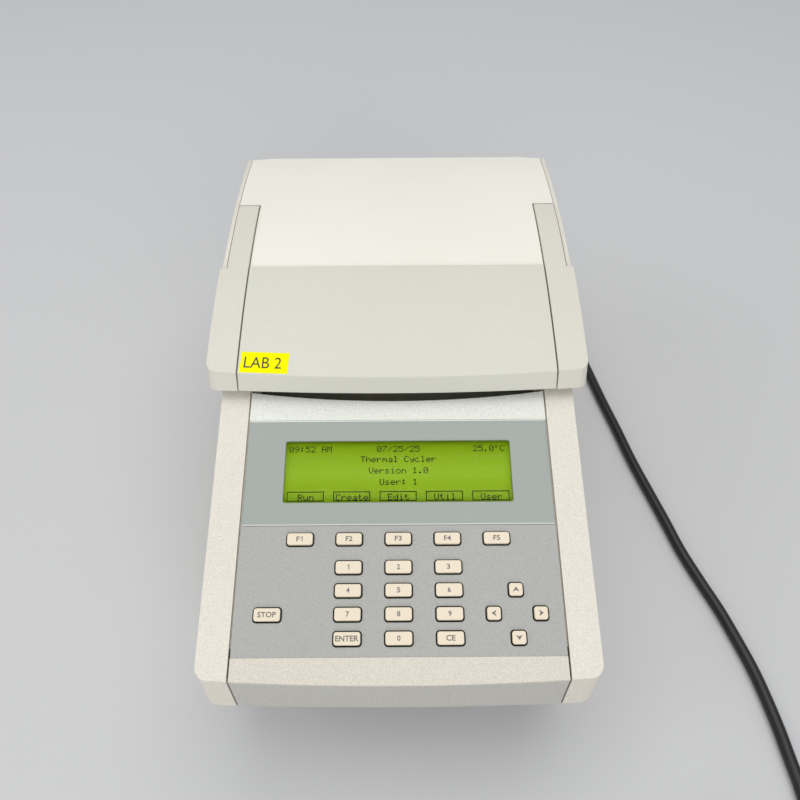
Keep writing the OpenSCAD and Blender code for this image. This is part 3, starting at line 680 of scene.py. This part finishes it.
dot_ink = moulded("display_ink", srgb(18, 30, 10), 0.5, specular=0.15, grain=900, speckle=0.02,
                  grain_depth=0.00001)
add_piece("display_dots", lcd_mesh(), dot_ink, "base",
          top_of("lcd_module") @ Matrix.Translation((0, 0, DOT_LIFT)))


# ---- Yellow label on the lever ----

# The lever's crown is a cylinder across the model: its radius, and the Y and Z of its axis
CROWN_R = 511.5
CROWN_AXIS = (92, -319.7)
LABEL_CENTRE = (-79.9, -28.1)
LABEL_SIZE = (29, 13.8)
LABEL_TURN = math.radians(-2.6)
LABEL_T = 0.12
WORDS = "LAB 2"
WORDS_CENTRE = (-80.9, -28.1)
WORDS_SIZE = (22.5, 7.4)


def on_lever(mesh, centre, lift):
    """Lays a flat mesh, turned as the label is, on the lever's crown at a height over it."""
    turn = Matrix.Rotation(LABEL_TURN, 3, "Z")
    for vertex in mesh.vertices:
        place = turn @ vertex.co / MM + Vector((*centre, lift))
        angle = math.asin((place.y - CROWN_AXIS[0]) / CROWN_R)
        r = CROWN_R + place.z
        vertex.co = Vector((place.x, CROWN_AXIS[0] + r * math.sin(angle),
                            CROWN_AXIS[1] + r * math.cos(angle))) * MM
    return mesh


def label_mesh():
    """A thin flat sheet, with rows of points for it to bend at."""
    shape = bmesh.new()
    bmesh.ops.create_grid(shape, x_segments=4, y_segments=6, size=0.5 * MM)
    bmesh.ops.scale(shape, vec=(*LABEL_SIZE, 1), verts=shape.verts)
    faces = bmesh.ops.extrude_face_region(shape, geom=shape.faces[:])
    raised = [v for v in faces["geom"] if isinstance(v, bmesh.types.BMVert)]
    bmesh.ops.translate(shape, vec=(0, 0, LABEL_T * MM), verts=raised)
    bmesh.ops.recalc_face_normals(shape, faces=shape.faces)
    return mesh_from(shape, "lever_label")


label_paper = moulded("label_paper", srgb(255, 250, 0), 0.6, grain=600, speckle=0.02,
                      grain_depth=0.00002, specular=0.05)
label_ink = moulded("label_ink", srgb(60, 58, 30), 0.5, grain=900, speckle=0.02,
                    grain_depth=0.00001)
add_piece("lever_label", on_lever(label_mesh(), LABEL_CENTRE, 0.0), label_paper, "lever")
add_piece("lever_label_words", on_lever(lettering(WORDS, *WORDS_SIZE), WORDS_CENTRE, LABEL_T),
          label_ink, "lever")


# ---- A tie round the coiled lead ----

# Turns that the tie bends round: distance from the coil's middle, height, first and last angle
TIE_BENDS = [(-36, 12, 0, 117), (-52, 4, 117, 225), (-36, 4, 315, 360)]
TIE_R = 4.65
TIE_LOW = 0.7
TIE_WIRE = 0.65
BEND_POINTS = 6


def tie_points():
    """A loop drawn tight round the coil's turns, at its left side."""
    points = []
    for x, z, first, last in TIE_BENDS:
        for i in range(BEND_POINTS):
            angle = math.radians(first + (last - first) * i / (BEND_POINTS - 1))
            points.append(Vector((COIL_CENTRE[0] + x + TIE_R * math.cos(angle), COIL_CENTRE[1],
                                  max(z + TIE_R * math.sin(angle), TIE_LOW))) * MM)
    return points


tie = add_curve("lead_tie", tie_points(), TIE_WIRE * MM, cyclic=True)
tie.data.materials.append(MATERIALS["cord_black"])
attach(tie, "base")


# ---- Room ----

FLOOR_REACH = 20
FLOOR_GREY = (0.62, 0.62, 0.62)
LIGHT_TARGET = Vector((0, 0, 0.1))
# Each light's name, place and size in metres, and power
LIGHTS = [("ceiling", (0.1, 0.3, 2.2), (2.4, 2.0), 22),
          ("window_side", (-1.8, -0.4, 1.5), (1.4, 1.4), 9),
          ("front_fill", (0.3, -2.0, 1.1), (1.6, 1.2), 17)]
ROOM_LIGHT = (0.9, 0.92, 0.95)
ROOM_STRENGTH = 0.45


def add_floor():
    """A plain pale floor."""
    shape = bmesh.new()
    bmesh.ops.create_grid(shape, x_segments=1, y_segments=1, size=FLOOR_REACH)
    floor = add_object("floor", mesh_from(shape, "floor"))
    material, _, _ = new_material("pale_floor", FLOOR_GREY, 0.8)
    floor.data.materials.append(material)


def add_light(name, place, size, power):
    """A soft rectangular light turned towards the object."""
    light = bpy.data.lights.new(name, "AREA")
    light.shape = "RECTANGLE"
    light.size, light.size_y = size
    light.energy = power
    lamp = add_object(name, light)
    lamp.location = place
    lamp.rotation_euler = (LIGHT_TARGET - lamp.location).to_track_quat("-Z", "Y").to_euler()


def add_room_light():
    """Even light from all round, and colours shown as they are."""
    world = bpy.data.worlds.new("room")
    world.use_nodes = True
    background = world.node_tree.nodes["Background"]
    background.inputs["Color"].default_value = (*ROOM_LIGHT, 1)
    background.inputs["Strength"].default_value = ROOM_STRENGTH
    scene.world = world
    scene.view_settings.view_transform = "Standard"


add_floor()
for light in LIGHTS:
    add_light(*light)
add_room_light()
